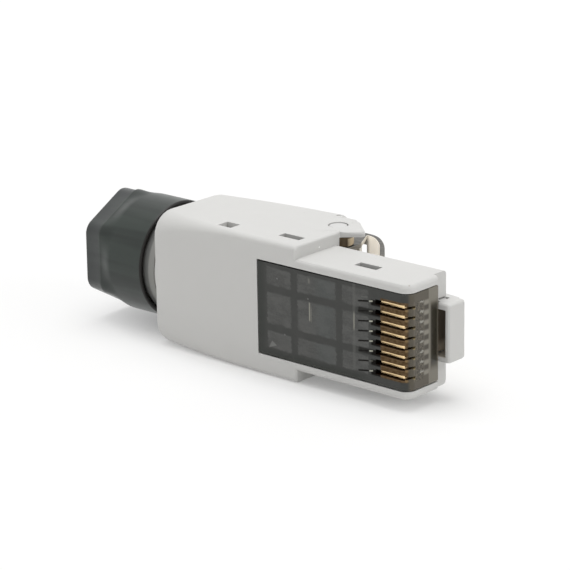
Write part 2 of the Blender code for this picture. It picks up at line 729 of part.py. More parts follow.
def make_latch(finish):
    """The plastic latch: a hollow nose, a flat arm running back over the plug and a narrow tail."""
    half = LATCH_WIDTH / 2
    nose_back = -WALL_SETBACK + ROOT_PLAY
    nose_low = (nose_back, LATCH_SIDE - NOSE_BELOW, -half)
    nose_high = (NOSE_FRONT, NOSE_TOP, half)
    latch = box("latch", nose_low, nose_high, finish, edge=NOSE_EDGE_RADIUS, segments=3)
    inner = half - NOSE_SIDE_WALL
    hollow_low = (nose_back - OVERRUN, nose_low[1] - OVERRUN, -inner)
    cut(latch, box("nose_hollow", hollow_low, (NOSE_FRONT - NOSE_WALL, NOSE_TOP - ARM_DEPTH, inner)))
    front = NOSE_FRONT - NOSE_WALL - NOSE_EDGE_RADIUS
    arm = [(front, NOSE_TOP + ARM_RISE * front / SHOULDER_X), (SHOULDER_X, NOSE_TOP + ARM_RISE)]
    arm += [(x, y - ARM_DEPTH) for x, y in reversed(arm)]
    join(latch, prism("latch_arm", arm, -half, half))
    tail_y, tail_half = LATCH_SIDE + TAIL_ABOVE, TAIL_WIDTH / 2
    tail_low = (STEP_X + TAIL_AHEAD, tail_y, -tail_half)
    join(latch, box("latch_tail", tail_low, (SHOULDER_X + OVERRUN, tail_y + TAIL_DEPTH, tail_half)))
    roots = []
    root = LATCH_SIDE - ROOT_BELOW
    for low_z, high_z in ((-half, -inner), (inner, half)):
        low = (-WALL_SETBACK - ROOT_LENGTH, root, low_z)
        roots.append((low, (nose_back + NOSE_WALL, root + ROOT_DEPTH, high_z)))
    join(latch, boxes("latch_roots", roots))
    set_pivot(latch, (FLEX_X, LATCH_SIDE - FLEX_BELOW, 0))
    return latch


def make_neck_ring(finish):
    """The dark ring on the stub between the neck's shoulder and the nut."""
    start = NECK_BACK - SEAT
    rings = [(start, NECK_RADIUS), (start - RING_WIDTH, NECK_RADIUS)]
    bore = STUB_RADIUS + RUNNING
    bm = bmesh.new()
    rings = [gland_ring(x, r) for x, r in [*rings, (start - RING_WIDTH, bore), (start, bore)]]
    bm_sleeve(bm, rings)
    return add_object("neck_ring", bm, finish)


def hexagon_reach(angle, apothem):
    """Distance from the gland's axis to a round-cornered hexagon at an angle."""
    turn = math.radians(NUT_HEX_TURN)
    sector = math.pi / 3
    local = (angle - turn + sector / 2) % sector - sector / 2
    flat = apothem / math.cos(local)
    core = (apothem - NUT_HEX_CORNER) / math.cos(sector / 2)
    off = sector / 2 - abs(local)
    across = core * math.sin(off)
    if apothem * math.tan(abs(local)) <= (apothem - NUT_HEX_CORNER) * math.tan(sector / 2):
        return flat
    return core * math.cos(off) + math.sqrt(NUT_HEX_CORNER**2 - across**2)


def nut_rings():
    """The nut's rings from its skirt round to the cable end and back through its bore."""
    def blended(apothem, share):
        return lambda angle: (1 - share) * hexagon_reach(angle, apothem) + share * NUT_COLLAR_RADIUS

    edge = NUT_EDGE_RADIUS
    rings = [(NUT_FRONT, NUT_COLLAR_RADIUS - edge), (NUT_FRONT - edge, NUT_COLLAR_RADIUS)]
    rim_front = NUT_BACK + NUT_RIM_LENGTH
    hexagon_front = rim_front + NUT_SHOULDER_LENGTH
    steps = 5
    for k in range(steps + 1):
        share = 1 - k / steps
        smooth = share * share * (3 - 2 * share)
        rings.append((hexagon_front + NUT_BLEND_LENGTH * share, blended(NUT_HEX_APOTHEM, smooth)))
    rim = NUT_HEX_APOTHEM - NUT_RIM_DROP
    rings += [(rim_front, blended(rim, 0)), (NUT_BACK + edge, blended(rim, 0))]
    rings.append((NUT_BACK, blended(rim - edge, 0)))
    chamber_back = NUT_BACK + NUT_END_WALL
    thread_back = chamber_back + NUT_CHAMBER_LENGTH
    thread_front = NUT_FRONT - NUT_SKIRT_DEPTH
    thread = STUB_RADIUS + THREAD_CLEARANCE
    skirt = NUT_COLLAR_RADIUS - NUT_SKIRT_WALL
    rings += [(NUT_BACK, NUT_ENTRY_RADIUS), (chamber_back, NUT_ENTRY_RADIUS)]
    rings += [(chamber_back, NUT_CHAMBER_RADIUS), (thread_back, NUT_CHAMBER_RADIUS)]
    rings += [(thread_back, thread), (thread_front, thread)]
    rings += [(thread_front, skirt), (NUT_FRONT, skirt)]
    return rings


def make_gland_nut(finish):
    """The gland nut: a hexagon at the cable end that flows into a round collar."""
    bm = bmesh.new()
    bm_sleeve(bm, [gland_ring(x, radius) for x, radius in nut_rings()])
    nut = add_object("gland_nut", bm, finish, smooth_angle=30.0)
    set_pivot(nut, (NUT_BACK, GLAND_HEIGHT, 0))
    return nut


def make_cable_clamp(finish):
    """The claw that the nut pushes into the neck: a flange with six fingers round the cable."""
    back = NUT_BACK + NUT_END_WALL + SEAT
    front = back + CLAMP_LENGTH
    profile = [
        (front, CLAMP_RADIUS - CLAMP_TIP_TAPER),
        (front - CLAMP_TIP, CLAMP_RADIUS),
        (back + CLAMP_FLANGE, CLAMP_RADIUS),
        (back + CLAMP_FLANGE, CLAMP_FLANGE_RADIUS),
        (back, CLAMP_FLANGE_RADIUS),
        (back, CLAMP_BORE + CLAMP_MOUTH),
        (back + CLAMP_MOUTH, CLAMP_BORE),
        (front, CLAMP_BORE),
    ]
    bm = bmesh.new()
    bm_sleeve(bm, [gland_ring(x, radius) for x, radius in profile])
    clamp = add_object("cable_clamp", bm, finish)
    reach = CLAMP_FLANGE_RADIUS + OVERRUN
    for k in range(CLAMP_SLOTS // 2):
        low = (back + CLAMP_FLANGE + CLAMP_MOUTH, -reach, -CLAMP_SLOT_WIDTH / 2)
        tool = box(f"finger_slot_{k}", low, (front + OVERRUN, reach, CLAMP_SLOT_WIDTH / 2))
        tool.location.y = GLAND_HEIGHT
        tool.rotation_euler.x = 2 * math.pi * k / CLAMP_SLOTS
        cut(clamp, tool)
    set_pivot(clamp, (back, GLAND_HEIGHT, 0))
    return clamp


def main():
    for existing in list(bpy.data.objects):
        bpy.data.objects.remove(existing)
    shell = material("housing plastic", (0.72, 0.72, 0.70), 0.55)
    smoky = material("smoky plastic", (0.10, 0.105, 0.10), 0.15, transmission=0.6)
    gold = material("gold plate", (0.90, 0.66, 0.30), 0.22, metallic=1.0)
    pale = material("comb plastic", (0.35, 0.36, 0.35), 0.5)
    tin = material("tinned sheet", (0.62, 0.62, 0.57), 0.28, metallic=1.0)
    steel = material("pin steel", (0.70, 0.70, 0.70), 0.3, metallic=1.0)
    brass = material("bush brass", (0.48, 0.40, 0.27), 0.35, metallic=1.0)
    rubber = material("seal rubber", (0.15, 0.15, 0.145), 0.6)
    dark = material("dark green plastic", (0.025, 0.032, 0.028), 0.45)
    make_housing(shell)
    make_rear_cover(shell)
    make_contact_carrier(smoky)
    make_contacts(gold)
    make_wire_manager(pale)
    make_lever_pin(steel)
    make_lever_bushes(brass)
    make_release_lever(tin)
    make_latch(shell)
    make_neck_ring(rubber)
    make_gland_nut(dark)
    make_cable_clamp(dark)


main()
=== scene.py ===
"""Field termination Ethernet plug: its looks, piece by piece from the housing to the gland nut."""
import math

import bmesh
import bpy
from mathutils import Matrix, Vector


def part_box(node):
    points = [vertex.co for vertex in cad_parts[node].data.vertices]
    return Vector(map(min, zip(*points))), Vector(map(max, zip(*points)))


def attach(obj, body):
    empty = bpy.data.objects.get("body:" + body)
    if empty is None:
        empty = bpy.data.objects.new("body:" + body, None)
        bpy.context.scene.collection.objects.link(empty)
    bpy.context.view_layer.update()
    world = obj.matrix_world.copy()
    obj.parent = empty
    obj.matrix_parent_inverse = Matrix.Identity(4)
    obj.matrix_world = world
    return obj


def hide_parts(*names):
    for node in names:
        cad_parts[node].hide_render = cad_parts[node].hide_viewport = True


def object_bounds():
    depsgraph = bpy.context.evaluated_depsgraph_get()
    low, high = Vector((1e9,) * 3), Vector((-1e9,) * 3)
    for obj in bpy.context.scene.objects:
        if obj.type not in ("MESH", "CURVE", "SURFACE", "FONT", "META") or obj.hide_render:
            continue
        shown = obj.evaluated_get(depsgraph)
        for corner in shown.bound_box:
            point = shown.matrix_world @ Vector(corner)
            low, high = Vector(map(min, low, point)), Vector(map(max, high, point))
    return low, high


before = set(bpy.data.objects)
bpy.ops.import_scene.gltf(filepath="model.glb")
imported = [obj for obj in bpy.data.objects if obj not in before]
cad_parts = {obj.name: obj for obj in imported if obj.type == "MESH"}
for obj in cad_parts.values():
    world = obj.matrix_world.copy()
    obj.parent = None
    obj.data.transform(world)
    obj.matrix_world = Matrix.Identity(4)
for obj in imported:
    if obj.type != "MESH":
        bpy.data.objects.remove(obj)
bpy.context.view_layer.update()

MM = 0.001
scene = bpy.context.scene
scene.view_settings.view_transform = "Standard"


# Camera: a long lens a quarter of a metre away, ahead of the plug and a little above it, over its contact
# side. It was fitted to the corners of the mating end, whose sizes are standard.
camera_azimuth = math.radians(41.66)
camera_elevation = math.radians(17.51)
camera_roll = math.radians(-0.95)
camera_distance = 255.9 * MM
camera_aim = Vector((-18.0, -0.654, 1.837)) * MM
level = math.cos(camera_elevation)
camera_back = Vector((
    math.sin(camera_azimuth) * level,
    -math.cos(camera_azimuth) * level,
    math.sin(camera_elevation),
))
flat_right = Vector((math.cos(camera_azimuth), math.sin(camera_azimuth), 0))
flat_up = camera_back.cross(flat_right)
camera_right = math.cos(camera_roll) * flat_right + math.sin(camera_roll) * flat_up
camera_up = math.cos(camera_roll) * flat_up - math.sin(camera_roll) * flat_right
camera = bpy.data.objects.new("camera", bpy.data.cameras.new("camera"))
scene.collection.objects.link(camera)
camera.matrix_world = Matrix.Translation(camera_aim + camera_back * camera_distance) @ Matrix(
    (camera_right, camera_up, camera_back)
).transposed().to_4x4()
camera.data.lens = 160.6
camera.data.sensor_width = 36.0
camera.data.clip_start = 5 * MM
scene.camera = camera


# Table: a seamless white sheet that keeps a soft shadow under the plug. The room's walls are plain white
# too, and the lamps are two soft boxes, a large one over the plug and a small one ahead of its mating end.
class Value:
    """One output in a node tree; arithmetic on it adds Math nodes."""

    def __init__(self, recipe, socket):
        self.recipe = recipe
        self.socket = socket

    def maths(self, operation, *others):
        """A Math node with this value first."""
        return self.recipe.maths(operation, self, *others)

    def __add__(self, other):
        return self.maths("ADD", other)

    __radd__ = __add__

    def __sub__(self, other):
        return self.maths("SUBTRACT", other)

    def __rsub__(self, other):
        return self.recipe.maths("SUBTRACT", other, self)

    def __mul__(self, other):
        return self.maths("MULTIPLY", other)

    __rmul__ = __mul__

    def __truediv__(self, other):
        return self.maths("DIVIDE", other)

    def __rtruediv__(self, other):
        return self.recipe.maths("DIVIDE", other, self)

    def __pow__(self, other):
        return self.maths("POWER", other)

    def __rpow__(self, other):
        return self.recipe.maths("POWER", other, self)


class Recipe:
    """A node tree that is written as expressions."""

    def __init__(self, tree):
        self.tree = tree

    def add(self, kind, settings=None, sockets=None, output=0):
        """One node: its settings first, then the values or links of its sockets."""
        node = self.tree.nodes.new(kind)
        for name, setting in (settings or {}).items():
            setattr(node, name, setting)
        for name, value in (sockets or {}).items():
            socket = node.inputs[name]
            if isinstance(value, Value):
                self.tree.links.new(value.socket, socket)
            elif socket.type == "RGBA":
                socket.default_value = (*value, 1.0)
            else:
                socket.default_value = value
        if isinstance(output, tuple):
            return tuple(Value(self, node.outputs[name]) for name in output)
        return Value(self, node.outputs[output] if node.outputs else None)

    def maths(self, operation, *operands):
        """One Math node on values and numbers, in the order given."""
        return self.add("ShaderNodeMath", {"operation": operation}, dict(enumerate(operands)))


def blank_recipe(owner):
    """The empty recipe of a material or of the world."""
    owner.use_nodes = True
    owner.node_tree.nodes.clear()
    return Recipe(owner.node_tree)


def eased(value, span, levels, curve="LINEAR"):
    """A value's way from one level to another over a span."""
    sockets = {0: value, 1: span[0], 2: span[1], 3: levels[0], 4: levels[1]}
    return value.recipe.add("ShaderNodeMapRange", {"interpolation_type": curve}, sockets)


ray_kinds = ("Is Camera Ray", "Is Glossy Ray", "Is Transmission Ray")
table_half = 3.0
table_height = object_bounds()[0].z
table_corners = [(-1, -1), (1, -1), (1, 1), (-1, 1)]
paper_white = (0.83, 0.828, 0.82)
glow_strength = 1.05
mirrored_glow = 0.7
# The shadow fades with the distance from the plug's middle, along its length by a smaller share.
plug_shrink = 0.35
plug_middle = Vector((camera_aim.x * plug_shrink, 4 * MM, 0))
shadow_span, shadow_glow = (6.5 * MM, 10.5 * MM), (0.18, 0.54)
open_span, open_glow = (20 * MM, 120 * MM), (0.0, 1.0)

table_mesh = bpy.data.meshes.new("table")
sheet_corners = [(x * table_half, y * table_half, table_height) for x, y in table_corners]
table_mesh.from_pydata(sheet_corners, [], [range(4)])
table = bpy.data.objects.new("table", table_mesh)
scene.collection.objects.link(table)
table_paint = bpy.data.materials.new("white sheet")
sheet = blank_recipe(table_paint)
seen, mirrored, passed = sheet.add("ShaderNodeLightPath", output=ray_kinds)
spread = sheet.add("ShaderNodeTexCoord", output="Object")
shrink = {0: spread, 1: (plug_shrink, 1.0, 0.0)}
along = sheet.add("ShaderNodeVectorMath", {"operation": "MULTIPLY"}, shrink, "Vector")
gap = {0: along, 1: plug_middle}
from_plug = sheet.add("ShaderNodeVectorMath", {"operation": "DISTANCE"}, gap, "Value")
near_plug = eased(from_plug, shadow_span, shadow_glow)
far_off = eased(from_plug, open_span, open_glow)
paper = sheet.add("ShaderNodeBsdfDiffuse", sockets={"Color": paper_white})
glow = sheet.add("ShaderNodeEmission", sockets={"Color": (1, 1, 1), "Strength": glow_strength})
glow_seen = seen * near_plug.maths("MAXIMUM", far_off)
glow_mirrored = mirrored.maths("MAXIMUM", passed) * mirrored_glow
bare = glow_seen.maths("MAXIMUM", glow_mirrored)
look = sheet.add("ShaderNodeMixShader", sockets={0: bare, 1: paper, 2: glow})
sheet.add("ShaderNodeOutputMaterial", sockets={"Surface": look})
table_mesh.materials.append(table_paint)

room = bpy.data.worlds.new("room")
scene.world = room
room_level = 0.62
walls = blank_recipe(room)
seen, mirrored, passed = walls.add("ShaderNodeLightPath", output=ray_kinds)
bright = seen.maths("MAXIMUM", mirrored.maths("MAXIMUM", passed))
strength = bright * (1 - room_level) + room_level
white = walls.add("ShaderNodeBackground", sockets={"Color": (1, 1, 1), "Strength": strength})
walls.add("ShaderNodeOutputWorld", sockets={"Surface": white})


def soft_box(name, place, size, power):
    """A square lamp that faces the plug."""
    lamp = bpy.data.lights.new(name, "AREA")
    lamp.shape = "SQUARE"
    lamp.size = size
    lamp.energy = power
    box = bpy.data.objects.new(name, lamp)
    scene.collection.objects.link(box)
    box.location = place
    box.rotation_mode = "QUATERNION"
    box.rotation_quaternion = (Vector(place) - camera_aim).to_track_quat("Z", "Y")


soft_box("box_over", place=(-0.05, 0.05, 0.60), size=0.50, power=2.33)
soft_box("box_ahead", place=(0.42, 0.10, 0.26), size=0.20, power=0.30)


# Housing: one moulding of warm light-grey polycarbonate with a fine spark-eroded skin. It is a merged copy
# of the CAD solid, so its windows, ears and neck stay where they are, and its edges get the small radii of
# the mould.
weld_distance = 0.002 * MM
flat_angle = math.radians(0.5)


def merged(node, name):
    """A copy of a CAD node's mesh with whole faces in place of loose triangles."""
    form = bmesh.new()
    form.from_mesh(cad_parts[node].data)
    bmesh.ops.remove_doubles(form, verts=form.verts, dist=weld_distance)
    bmesh.ops.dissolve_limit(form, angle_limit=flat_angle, verts=form.verts, edges=form.edges)
    mesh = bpy.data.meshes.new(name)
    form.to_mesh(mesh)
    form.free()
    piece = bpy.data.objects.new(name, mesh)
    scene.collection.objects.link(piece)
    return piece


def round_edges(piece, width, sharp=30.0, segments=2, weighted=False):
    """A bevel on the sharp edges, or on those that carry a weight."""
    rounding = piece.modifiers.new("rounding", "BEVEL")
    rounding.width = width
    rounding.segments = segments
    rounding.limit_method = "WEIGHT" if weighted else "ANGLE"
    rounding.angle_limit = math.radians(sharp)
    rounding.use_clamp_overlap = not weighted


def settled(piece, sharp=30.0):
    """The piece with its modifiers applied and its faces smooth up to an angle."""
    weighting = piece.modifiers.new("weighting", "WEIGHTED_NORMAL")
    weighting.keep_sharp = True
    piece.data.shade_smooth()
    piece.data.set_sharp_from_angle(angle=math.radians(sharp))
    evaluated = piece.evaluated_get(bpy.context.evaluated_depsgraph_get())
    piece.data = bpy.data.meshes.new_from_object(evaluated)
    piece.modifiers.clear()
    return piece


def refined(node, name, edge, sharp=30.0):
    """A merged copy of a CAD node with its sharp edges slightly rounded."""
    piece = merged(node, name)
    round_edges(piece, edge, sharp)
    return settled(piece, sharp)


def fitted(piece, paint, slot, body, *nodes):
    """Gives a piece its material and puts it in place of the CAD nodes that it stands for."""
    piece.data.materials.clear()
    piece.data.materials.append(paint)
    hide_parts(*nodes)
    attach(piece, body)


def place_on(recipe):
    """X, Y and Z on the piece in millimetres."""
    point = recipe.add("ShaderNodeTexCoord", output="Object")
    scaled = recipe.add("ShaderNodeVectorMath", {"operation": "SCALE"}, {0: point, "Scale": 1 / MM})
    return recipe.add("ShaderNodeSeparateXYZ", sockets={0: scaled}, output=("X", "Y", "Z"))


def noise_at(recipe, size, detail=2.0, stretch=(1, 1, 1)):
    """Even noise about 0.5 with features of the given size in millimetres."""
    point = recipe.add("ShaderNodeTexCoord", output="Object")
    spread = recipe.add("ShaderNodeMapping", sockets={"Vector": point, "Scale": stretch})
    return recipe.add(
        "ShaderNodeTexNoise", sockets={"Vector": spread, "Scale": 1 / (size * MM), "Detail": detail}
    )


def above(value, limit, soft):
    """0 below a limit and 1 above it, with a soft step between."""
    return eased(value, (limit - soft, limit + soft), (0.0, 1.0), "SMOOTHSTEP")


def within(value, low, high, soft):
    """1 between two limits and 0 outside them."""
    return above(value, low, soft) * (1 - above(value, high, soft))


def in_box(place, low, high, soft):
    """1 inside a box between two corners, with a softness for each axis."""
    x_mask, y_mask, z_mask = [within(*limits) for limits in zip(place, low, high, soft)]
    return x_mask * y_mask * z_mask


def tinted(mask, under, over):
    """One colour over another where the mask is 1."""
    colours = {0: mask, 6: under, 7: over}
    return mask.recipe.add("ShaderNodeMix", {"data_type": "RGBA"}, colours, output=2)


def spot(place, centre, radius):
    """A round spot about a point, on the two or three axes that the centre names."""
    distance = sum((value - at) ** 2.0 for value, at in zip(place, centre)) ** 0.5
    return 1 - above(distance, radius, radius * 0.4)


def skin_of(recipe, grain, relief):
    """The fine relief that an eroded mould leaves, as a normal."""
    height = noise_at(recipe, grain, 3.0) * (relief * MM)
    return recipe.add("ShaderNodeBump", sockets={"Height": height, "Distance": 1.0, "Strength": 0.6})


def finished(recipe, sockets):
    """Ends a recipe in a Principled shader."""
    shader = recipe.add("ShaderNodeBsdfPrincipled", sockets=sockets)
    recipe.add("ShaderNodeOutputMaterial", sockets={"Surface": shader})


def moulded(name, colour, shine, tint=0.03, grain=0.06, relief=0.004, marks=None, constants=None):
    """Moulded plastic: a slow drift of colour, an uneven sheen and a fine eroded grain."""
    drift_size, patch_size, unevenness = 6.0, 1.5, 0.12
    paint = bpy.data.materials.new(name)
    recipe = blank_recipe(paint)
    darker = tuple(part * (1 - tint) for part in colour)
    shade = tinted(noise_at(recipe, drift_size), colour, darker)
    if marks:
        shade = marks(recipe, shade)
    sheen = noise_at(recipe, patch_size) * unevenness + (shine - unevenness / 2)
    sockets = {"Base Color": shade, "Roughness": sheen, "Normal": skin_of(recipe, grain, relief)}
    finished(recipe, sockets | (constants or {}))
    return paint


housing_grey = (0.60, 0.596, 0.580)
# A painted highlight: a small white dot on the step wall.
glint_dot, glint_radius, glint_white = (-14.3, 0.41, 6.25), 0.09, (0.90, 0.90, 0.89)
gate_scar, scar_radius, scar_brown = (-0.28, -2.75, 5.84), 0.13, (0.22, 0.15, 0.10)
# Painted shade inside the latch's hollow nose: brown above, with a paler tan lower down as painted light.
recess_low, recess_high, recess_soft = (-0.68, 1.36, -2.42), (0.72, 3.25, 2.38), (0.06, 0.12, 0.08)
recess_shade_brown, recess_lit_tan, recess_middle = (0.15, 0.118, 0.080), (0.50, 0.43, 0.33), -1.35
# Painted light: the top of the lever bay's back wall sits in shade and is painted near white.
bay_wall_x, bay_wall_low, bay_wall_side = -18.40, 7.7, 7.0
bay_wall_painted_light = (0.95, 0.945, 0.93)
dust_spacing, dust_size, dust_grey = 3.1, 0.022, (0.30, 0.28, 0.25)


def housing_marks(recipe, shade):
    """The gate scar and dust, with painted light and shade: a highlight dot, shade in the latch's nose, a
    lighter bay wall.
    """
    place = place_on(recipe)
    x, y, z = place
    shade = tinted(spot(place, glint_dot, glint_radius), shade, glint_white)
    shade = tinted(spot(place, gate_scar, scar_radius) * 0.6, shade, scar_brown)
    recess_light = tinted(above(z, recess_middle, 0.45), recess_lit_tan, recess_shade_brown)
    shade = tinted(in_box(place, recess_low, recess_high, recess_soft), shade, recess_light)
    bay_wall = within(x, bay_wall_x - 0.06, bay_wall_x + 0.06, 0.02) * above(y, bay_wall_low, 0.1)
    shade = tinted(bay_wall * (1 - above(z, bay_wall_side, 0.06)), shade, bay_wall_painted_light)
    point = recipe.add("ShaderNodeTexCoord", output="Object")
    cells = {"Vector": point, "Scale": 1 / (dust_spacing * MM)}
    dust = recipe.add("ShaderNodeTexVoronoi", sockets=cells, output="Distance")
    return tinted((1 - above(dust, dust_size, 0.006)) * 0.35, shade, dust_grey)


housing_plastic = moulded("housing plastic", housing_grey, 0.48, marks=housing_marks)
ear_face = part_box("housing")[1].z
ear_back = -15.45 * MM
ear_root = -14.60 * MM
ear_fade = 0.30 * MM
ear_rounding = 0.42 * MM
ear_edge_angle = math.radians(60)
least_weight = 0.1
on_plane = 0.01 * MM
pin_low, pin_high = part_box("lever_pin")
pin_middle = (pin_low + pin_high) / 2
pin_clear = (pin_high.y - pin_low.y) / 2 + 0.25 * MM


def ear_weight(edge):
    """How much of the ears' rounding an edge gets: none off their rims, and less toward the near root."""
    ends = [end.co for end in edge.verts]
    on_face = all(abs(abs(end.z) - ear_face) < on_plane for end in ends)
    on_ear = all(end.x > ear_back for end in ends)
    off_pin = all((end - pin_middle).to_2d().length > pin_clear for end in ends)
    if not (on_face and on_ear and off_pin and edge.calc_face_angle(0) > ear_edge_angle):
        return 0.0
    if max(end.y for end in ends) >= pin_middle.y:
        return 1.0
    from_root = min(end.x for end in ends) - ear_root
    return min(1.0, max(least_weight, from_root / ear_fade))


housing = merged("housing", "housing_moulding")
form = bmesh.new()
form.from_mesh(housing.data)
weights = form.edges.layers.float.new("bevel_weight_edge")
for edge in form.edges:
    edge[weights] = ear_weight(edge)
form.to_mesh(housing.data)
form.free()
round_edges(housing, ear_rounding, segments=3, weighted=True)
round_edges(housing, 0.05 * MM)
fitted(settled(housing), housing_plastic, "housing_plastic", "housing", "housing")


# Rear cover: a lid of the same grey moulding as the housing, a piece of the rear body's skin. It snaps over
# the wiring chamber on two arms, on the side that faces away from the contacts.
cover = refined("rear_cover", "cover_moulding", 0.05 * MM)
fitted(cover, housing_plastic, "housing_plastic", "housing", "rear_cover")


# Contact carrier: a polished smoky moulding that hooks into the housing's side windows. Its thin face shows
# the panes between its inner ribs, and its nose glows brown round the contacts and lets a little light
# through at the front. Glints, bright front edges and shade on the slot walls and along a gap are painted
# on it.
contact_pitch = (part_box("contact_1")[0].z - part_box("contact_2")[0].z) / MM
# Places, softness and radii on the carrier are in millimetres, as Object coordinates are in place_on.
tray_columns = ((-18.05, -14.93), (-14.03, -9.08), (-8.22, -4.95))
tray_rows = ((-3.98, -2.23), (-1.40, 1.80), (2.63, 4.45))
tray_glints = (
    ((-12.54, -12.38, 0.05), (-0.15, 1.75, 0.12), 1.0),
    ((-12.30, -12.18, 0.05), (-0.20, 1.30, 0.30), 0.35),
    ((-6.82, -6.68, 0.05), (0.20, 1.85, 0.30), 0.9),
    ((-12.62, -12.40, 0.09), (3.75, 4.25, 0.15), 0.35),
)
# Small bright spots of painted glint on the tray, by X and Z, and their radius.
tray_glint_spots, glint_spot_radius = ((-15.78, -2.28), (-16.70, 3.42), (-12.66, 2.10)), 0.09
window_top = 4.93

smoke_black = (0.006, 0.005, 0.004)
smoke_rib, smoke_rib_dark = (0.040, 0.041, 0.037), (0.030, 0.032, 0.028)
smoke_pane, pane_cloudy, pane_milky = (0.074, 0.075, 0.071), (0.110, 0.110, 0.104), (0.105, 0.105, 0.098)
pane_teal, border_green, pale_line_grey = (0.072, 0.088, 0.086), (0.020, 0.025, 0.019), (0.13, 0.13, 0.12)
glint_tan, glint_patch_grey, glint_spot_grey = (0.42, 0.41, 0.34), (0.24, 0.24, 0.23), (0.30, 0.30, 0.29)
slot_glint, slot_wall_shade = (0.52, 0.52, 0.44), (0.016, 0.006, 0.002)
amber_dark, amber_pale = (0.078, 0.046, 0.019), (0.135, 0.088, 0.046)
amber_line, amber_end = (0.21, 0.135, 0.078), (0.30, 0.21, 0.10)
smoke_nose, nose_dark, nose_pale = (0.096, 0.083, 0.060), (0.026, 0.021, 0.013), (0.24, 0.21, 0.15)
bead_gold, bead_line, blob_grey = (0.40, 0.30, 0.11), (0.22, 0.19, 0.15), (0.42, 0.41, 0.36)
clear_tan, stub_brown, band_dark = (0.31, 0.29, 0.24), (0.045, 0.038, 0.026), (0.030, 0.027, 0.019)
edge_glow, edge_highlight_grey = (0.230, 0.215, 0.175), (0.22, 0.20, 0.17)

smoky_plastic = bpy.data.materials.new("smoky plastic")
smoke = blank_recipe(smoky_plastic)
x, y, z = place_on(smoke)
facing = smoke.add("ShaderNodeTexCoord", output="Normal")
sideways = smoke.add("ShaderNodeSeparateXYZ", sockets={0: facing}, output="Z").maths("ABSOLUTE")
in_rows = within(z, -4.06, 4.06, 0.05)
cloud = noise_at(smoke, 0.9, 3.0, (0.6, 1, 1))
drawn = noise_at(smoke, 0.14, 2.0, (0.08, 1, 1))
speckle = noise_at(smoke, 0.30, 3.0)
crumb = noise_at(smoke, 0.16, 2.0)


def row_share(height, low, high, soft):
    """A stripe in each contact's row, by its share of the pitch counted upwards."""
    return within((height / contact_pitch + 100.0).maths("FRACT"), low, high, soft) * in_rows


def among(value, spans, soft):
    """1 inside any of several spans."""
    return sum(within(value, low, high, soft) for low, high in spans)


def window_panes():
    """The tray: three by three pale panes between dark ribs, with painted glints: lines, a patch and small
    spots.
    """
    wave, pane_soft = 0.5, 0.13
    wavy_x, wavy_z = x + (speckle - 0.5) * wave, z + (cloud - 0.5) * wave
    pane = among(wavy_x, tray_columns, pane_soft) * among(wavy_z, tray_rows, pane_soft)
    colour = tinted(above(cloud, 0.5, 0.15) * 0.5, smoke_rib, smoke_rib_dark)
    colour = tinted(pane * (above(cloud, 0.48, 0.14) * 0.45 + 0.62), colour, smoke_pane)
    colour = tinted(pane * above(cloud, 0.56, 0.10) * 0.35, colour, pane_cloudy)
    colour = tinted(pane * above(crumb, 0.54, 0.10) * 0.30, colour, pane_milky)
    colour = tinted(pane * above(drawn, 0.58, 0.12) * 0.25, colour, pane_milky)
    colour = tinted(pane * within(x, -11.6, -9.2, 0.8) * 0.30, colour, pane_teal)
    border = (1 - above(wavy_x, -18.45, 0.35)).maths("MAXIMUM", 1 - above(wavy_z, -4.20, 0.30))
    border = border * (1 - above(x, -5.5, 1.0)) * (speckle * 0.8 + 0.3)
    colour = tinted(border * 0.6, colour, border_green)
    pale_line = within(x, -6.92, -6.58, 0.10) * above(z, -3.9, 0.2)
    colour = tinted(pale_line * 0.35, colour, pale_line_grey)
    glint = sum(within(x, *across) * within(z, *up) * strength for across, up, strength in tray_glints)
    colour = tinted(glint * 0.60, colour, glint_tan)
    # A painted glint: a small bright patch near the tray's corner.
    glint_patch = (1 - above(z + x * 0.62, -14.10, 0.06)) * above(z - x * 0.39, 2.94, 0.06)
    glint_patch = glint_patch * (1 - above(z - x * 1.84, 28.92, 0.12)) * (1 - above(x, -16.9, 0.05))
    colour = tinted(glint_patch * 0.6, colour, glint_patch_grey)
    for glint_spot in tray_glint_spots:
        colour = tinted(spot((x, z), glint_spot, glint_spot_radius) * 0.4, colour, glint_spot_grey)
    return colour, border * 0.30


